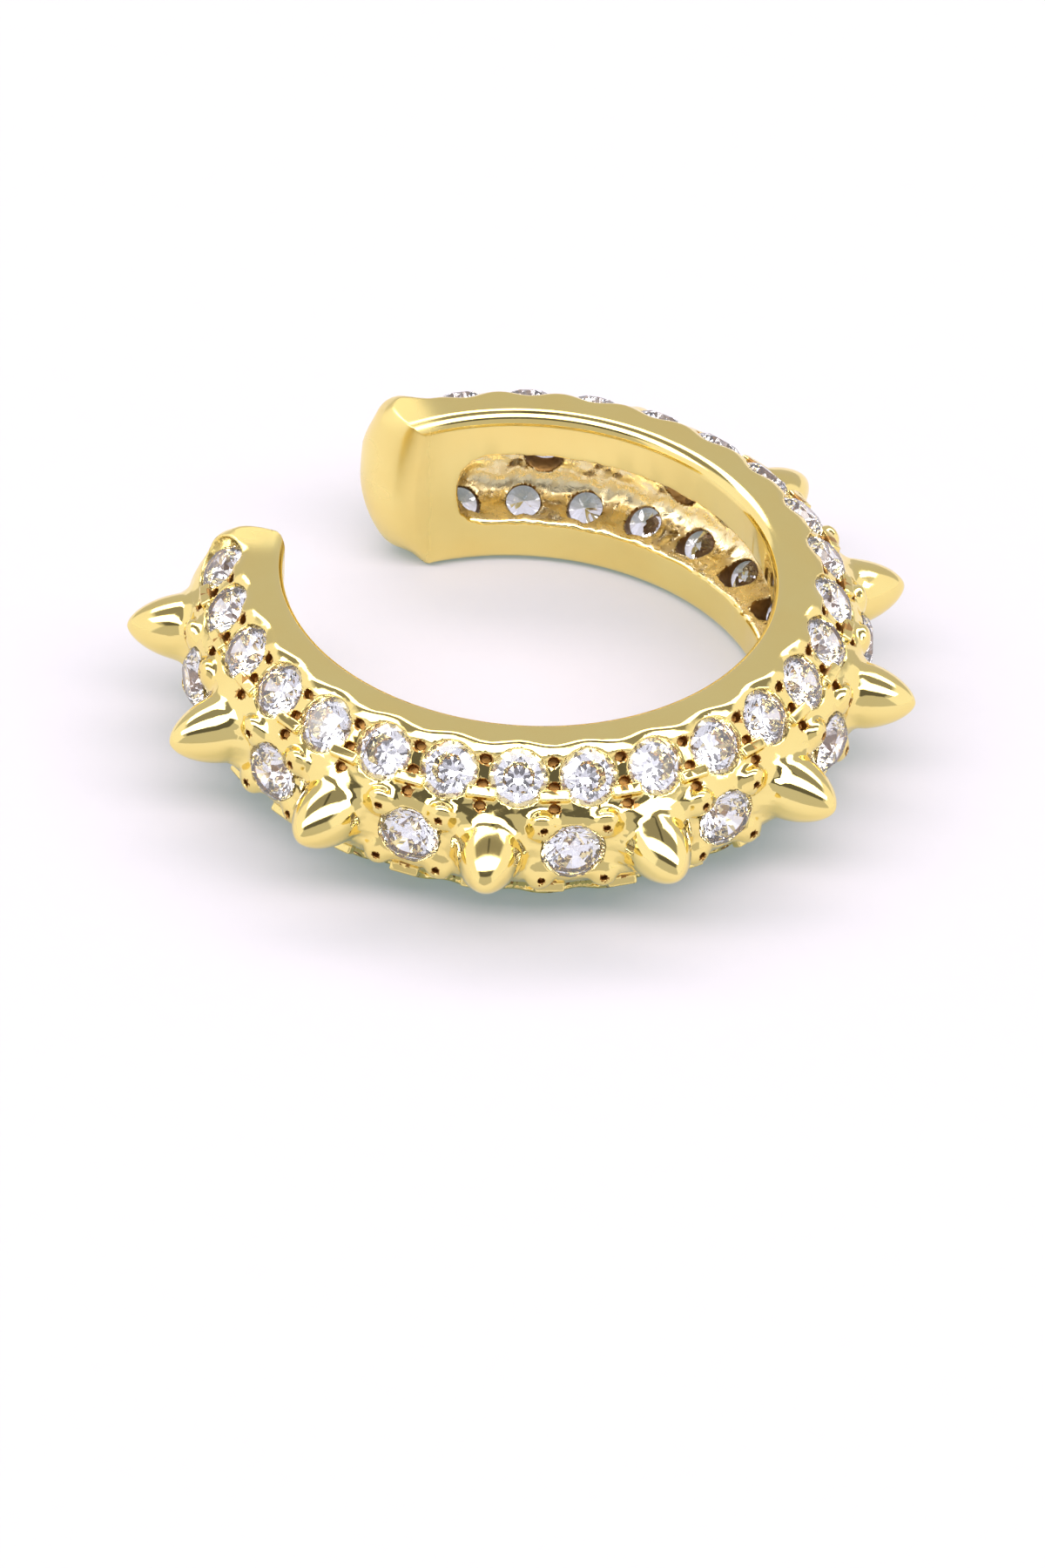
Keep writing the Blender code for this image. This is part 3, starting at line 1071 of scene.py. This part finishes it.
@dataclass
class Brilliant:
    """A round brilliant cut stone with 57 facets. Sizes are shares of its diameter."""

    table: float = 0.57
    crown: float = 0.155
    girdle: float = 0.035
    pavilion: float = 0.43
    star_reach: float = 0.50
    lower_reach: float = 0.77
    mains: int = 8

    def cut(self, name: str, diameter_mm: float) -> Mesh:
        """Cut one stone about its girdle's middle, table up.

        Args:
            name: the mesh's name.
            diameter_mm: its girdle's diameter.

        Returns:
            The mesh, in metres.
        """
        mains, half = self.mains, self.girdle
        top = half + 2 * self.crown
        crown_slope = (top - half) / (1 - self.table)
        depth = 2 * self.pavilion
        turn = math.pi / mains
        star = self.table * math.cos(turn) + self.star_reach * (1 - self.table * math.cos(turn))
        star_height = half + (1 - star * math.cos(turn)) * crown_slope
        low = 1 - self.lower_reach
        low_height = -half - depth + depth * low * math.cos(turn)
        points = []

        def ring(radius: float, height: float, count: int, start: float) -> list[int]:
            """Add a ring of points.

            Args:
                radius: its radius.
                height: its height.
                count: how many points it has.
                start: the first point's angle.

            Returns:
                The points' numbers.
            """
            first = len(points)
            for i in range(count):
                a = start + 2 * math.pi * i / count
                points.append((radius * math.cos(a), radius * math.sin(a), height))
            return list(range(first, first + count))

        table = ring(self.table, top, mains, 0)
        stars = ring(star, star_height, mains, turn)
        upper = ring(1, half, 2 * mains, 0)
        lower = ring(1, -half, 2 * mains, 0)
        bends = ring(low, low_height, mains, turn)
        points.append((0, 0, -half - depth))
        culet = len(points) - 1
        faces = [tuple(table)]
        for i in range(mains):
            j, back, past = (i + 1) % mains, (i - 1) % mains, (2 * i + 2) % (2 * mains)
            faces.append((table[i], stars[i], table[j]))
            faces.append((table[i], stars[back], upper[2 * i], stars[i]))
            faces.append((stars[i], upper[2 * i], upper[2 * i + 1]))
            faces.append((stars[i], upper[2 * i + 1], upper[past]))
            faces.append((culet, bends[i], lower[2 * i], bends[back]))
            faces.append((bends[i], lower[2 * i + 1], lower[2 * i]))
            faces.append((bends[i], lower[past], lower[2 * i + 1]))
        for i in range(2 * mains):
            j = (i + 1) % (2 * mains)
            faces.append((upper[i], lower[i], lower[j], upper[j]))
        size = diameter_mm / 2 * MM
        mesh = bpy.data.meshes.new(name)
        mesh.from_pydata([(x * size, y * size, z * size) for x, y, z in points], [], faces)
        mesh.validate()
        return mesh


@dataclass
class StoneRows:
    """All the stones, each turned a little in its seat as a setter leaves it."""

    casting: Casting
    cut: Brilliant
    turn_step: float = 2.4

    def place(self, row: Row, angle: float) -> Matrix:
        """Find the place of a stone, its table outwards.

        Args:
            row: its row.
            angle: its angle about the ring axis.

        Returns:
            The matrix that takes it there.
        """
        metal = self.casting
        radius, height, tilt, sink = (metal.shoulder_radius, metal.shoulder_height, metal.tilt,
                                      metal.stone_sink)
        if row is Row.CENTRE:
            radius, height, tilt, sink = metal.outer_radius, metal.middle, math.pi / 2, metal.centre_sink
        elif row is Row.LOWER:
            height, tilt, sink = metal.layout.height - height, math.pi - tilt, metal.hidden_sink
        x, y = metal.layout.axis
        return (Matrix.Translation((x * MM, y * MM, 0)) @ Matrix.Rotation(angle, 4, "Z")
                @ Matrix.Translation((radius * MM, 0, height * MM)) @ Matrix.Rotation(tilt, 4, "Y")
                @ Matrix.Translation((0, 0, -sink * MM)))

    def build(self, crystal: Material) -> None:
        """Set every stone: each is a piece, and the upper and the centre ones stand for CAD nodes.

        Args:
            crystal: the stones' finish.
        """
        metal = self.casting
        for row in Row:
            centre = row is Row.CENTRE
            angles = metal.layout.centres if centre else metal.layout.stones
            for i, angle in enumerate(angles):
                name = f"{row.value}_brilliant_{i + 1:02d}"
                mesh = self.cut.cut(name, metal.centre_stone if centre else metal.shoulder_stone)
                turn = Matrix.Rotation(self.turn_step * (i + 1) * (2 if centre else 1), 4, "Z")
                mesh.transform(self.place(row, angle) @ turn)
                stone = new_piece(name, mesh, [crystal])
                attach(stone, BODY)
                if row is not Row.LOWER:
                    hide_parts(f"{row.value}_stone_{i + 1:02d}")
            LOG.info("%s row: %d stones", row.value, len(angles))


@dataclass(frozen=True)
class Softbox:
    """A soft-edged lit or dark window in the studio's walls, seen from the cuff.

    Its direction is given as (towards the camera, to the right, up), its half sizes, its soft
    edge and its shift ahead as tangents, and its level is added to the wall's.
    """

    direction: Triple
    half_wide: float
    half_tall: float
    level: float
    soft: float = 0.12
    ahead: float = 0.0


@dataclass
class Studio:
    """Pale floor, walls with softboxes, and the camera at the photograph's angle."""

    layout: Layout
    azimuth: float = 33.51
    elevation: float = 38.80
    roll: float = 3.384
    distance_mm: float = 285.0
    lens_mm: float = 336.18
    sensor_mm: float = 36.0
    aim_right_mm: float = 0.036
    aim_down_mm: float = 1.406
    floor_mm: float = 1500.0
    floor_gap_mm: float = 0.01
    backdrop: str = "FAF5FA"
    wall_colour: str = "F6F4FF"
    lamp_colour: str = "FFFAFA"
    card_wall_colour: str = "E2FBFF"
    card_lamp_colour: str = "FFF1F8"
    wall_level: float = 0.68
    darkest: float = 0.02
    least_facing: float = 0.001
    lamp_from: float = 1.5
    lamp_to: float = 4.0
    stone_light: float = 1.7
    softboxes: tuple[Softbox, ...] = (
        # Two long lamps overhead, one before the cuff and one behind it, light its flats.
        Softbox(OVERHEAD, 1.40, 0.26, 5.2, soft=0.10, ahead=0.38),
        Softbox(OVERHEAD, 1.10, 0.24, 4.4, soft=0.10, ahead=-0.68),
        # Darker strips beside them give the metal its amber lines.
        Softbox(OVERHEAD, 0.95, 0.26, -0.34, soft=0.06, ahead=-0.15),
        Softbox(OVERHEAD, 0.05, 0.20, -0.24, soft=0.04, ahead=-0.12),
        Softbox(OVERHEAD, 1.30, 0.26, -0.54, soft=0.14, ahead=0.92),
        # A window on each side.
        Softbox((0.05, -1.0, 0.30), 0.8, 0.50, 0.50),
        Softbox((0.05, 1.0, 0.30), 0.8, 0.50, 0.50),
    )

    def directions(self) -> tuple[Vector, Vector, Vector]:
        """Unit directions towards the camera over the floor, to its right, and up."""
        sin, cos = math.sin(math.radians(self.azimuth)), math.cos(math.radians(self.azimuth))
        return Vector((sin, -cos, 0)), Vector((cos, sin, 0)), Vector((0, 0, 1))

    def add_camera(self) -> None:
        """Put the camera where the photograph was taken from."""
        front, right, up = self.directions()
        e = math.radians(self.elevation)
        back = front * math.cos(e) + up * math.sin(e)
        level_up = up * math.cos(e) - front * math.sin(e)
        r = math.radians(self.roll)
        image_right = right * math.cos(r) + level_up * math.sin(r)
        image_up = level_up * math.cos(r) - right * math.sin(r)
        target = Vector((self.layout.axis[0], self.layout.axis[1], 0)) * MM
        target += (image_right * self.aim_right_mm - image_up * self.aim_down_mm) * MM
        data = bpy.data.cameras.new("camera")
        data.lens = self.lens_mm
        data.sensor_width = self.sensor_mm
        data.clip_start = 0.01
        data.clip_end = 10
        camera = bpy.data.objects.new("camera", data)
        bpy.context.scene.collection.objects.link(camera)
        turned = Matrix((image_right, image_up, back)).transposed().to_4x4()
        camera.matrix_world = Matrix.Translation(target + back * self.distance_mm * MM) @ turned
        bpy.context.scene.camera = camera

    def add_floor(self, card: Material) -> None:
        """Lay a card under the cuff.

        Args:
            card: its finish.
        """
        half = self.floor_mm / 2 * MM
        mesh = bpy.data.meshes.new("floor")
        mesh.from_pydata([(-half, -half, 0), (half, -half, 0), (half, half, 0), (-half, half, 0)], [],
                         [(0, 1, 2, 3)])
        floor = new_piece("floor", mesh, [card])
        floor.location.z = -self.floor_gap_mm * MM

    def add_softbox(self, tree: Tree, way: Socket, box: Softbox) -> Socket:
        """Add one softbox to the studio's walls.

        Args:
            tree: the world's node tree.
            way: the direction looked in.
            box: the softbox.

        Returns:
            The socket with the level that it adds.
        """
        front, right, up = self.directions()
        middle = (front * box.direction[0] + right * box.direction[1] + up * box.direction[2]).normalized()
        wide = right if box.direction == OVERHEAD else middle.cross(up).normalized()
        dots = [add_node(tree, "ShaderNodeVectorMath", {"operation": "DOT_PRODUCT"}, {
            0: way, 1: tuple(v)}).outputs["Value"] for v in (middle, wide, wide.cross(middle))]
        facing = add_node(tree, "ShaderNodeMath", {"operation": "MAXIMUM"}, {
            0: dots[0], 1: self.least_facing})
        level = box.level
        for dot, half, shift in ((dots[1], box.half_wide, 0.0), (dots[2], box.half_tall, box.ahead)):
            ratio = add_node(tree, "ShaderNodeMath", {"operation": "DIVIDE"}, {
                0: dot, 1: facing.outputs[0]})
            off = add_node(tree, "ShaderNodeMath", {"operation": "SUBTRACT"}, {
                0: ratio.outputs[0], 1: shift})
            away = add_node(tree, "ShaderNodeMath", {"operation": "ABSOLUTE"}, {0: off.outputs[0]})
            share = add_node(tree, "ShaderNodeMapRange", {"interpolation_type": "SMOOTHSTEP"}, {
                "Value": away.outputs[0], "From Min": half - box.soft / 2, "From Max": half + box.soft / 2,
                "To Min": 1.0, "To Max": 0.0})
            level = add_node(tree, "ShaderNodeMath", {"operation": "MULTIPLY"}, {
                0: share.outputs[0], 1: level}).outputs[0]
        return level

    def add_walls(self) -> None:
        """Light the cuff from all round with the walls and the softboxes in them."""
        world = bpy.data.worlds.new("studio")
        bpy.context.scene.world = world
        world.use_nodes = True
        tree = world.node_tree
        tree.nodes.clear()
        way = add_node(tree, "ShaderNodeTexCoord").outputs["Generated"]
        level = self.wall_level
        for box in self.softboxes:
            level = add_node(tree, "ShaderNodeMath", {"operation": "ADD"}, {
                0: level, 1: self.add_softbox(tree, way, box)}).outputs[0]
        level = add_node(tree, "ShaderNodeMath", {"operation": "MAXIMUM"}, {
            0: level, 1: self.darkest}).outputs[0]
        lit = add_node(tree, "ShaderNodeMapRange", {}, {
            "Value": level, "From Min": self.wall_level * self.lamp_from,
            "From Max": self.wall_level * self.lamp_to}).outputs[0]
        paths = add_node(tree, "ShaderNodeLightPath").outputs
        tints = [add_node(tree, "ShaderNodeMix", {"data_type": "RGBA"}, {
            0: lit, 6: linear(wall), 7: linear(lamp)}).outputs[2] for wall, lamp in (
                (self.wall_colour, self.lamp_colour), (self.card_wall_colour, self.card_lamp_colour))]
        colour = add_node(tree, "ShaderNodeMix", {"data_type": "RGBA"}, {
            0: paths["Is Diffuse Ray"], 6: tints[0], 7: tints[1]}).outputs[2]
        through = add_node(tree, "ShaderNodeMath", {"operation": "MULTIPLY_ADD"}, {
            0: paths["Is Transmission Ray"], 1: self.stone_light - 1, 2: 1.0}).outputs[0]
        level = add_node(tree, "ShaderNodeMath", {"operation": "MULTIPLY"}, {
            0: level, 1: through}).outputs[0]
        walls = add_node(tree, "ShaderNodeBackground", {}, {"Color": colour, "Strength": level})
        plain = add_node(tree, "ShaderNodeBackground", {}, {
            "Color": linear(self.backdrop), "Strength": 1.0})
        both = add_node(tree, "ShaderNodeMixShader", {}, {
            0: paths["Is Camera Ray"], 1: walls.outputs[0], 2: plain.outputs[0]})
        add_node(tree, "ShaderNodeOutputWorld", {}, {"Surface": both.outputs[0]})


def main() -> None:
    """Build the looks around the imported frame, in order."""
    logging.basicConfig(level=logging.INFO, format="%(message)s")
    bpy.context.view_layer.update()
    bpy.context.scene.view_settings.view_transform = "Standard"
    layout = Layout.from_frame()
    studio = Studio(layout)
    studio.add_camera()
    studio.add_floor(PaleCard().make())
    studio.add_walls()
    LOG.info("studio: camera, floor and %d softboxes", len(studio.softboxes))
    casting = Casting(layout)
    casting.build(TumbledGold().make(), AsCastGold().make(), ShadedRecessGold().make())
    StoneRows(casting, Brilliant()).build(Zirconia().make())


if __name__ == "__main__":
    main()
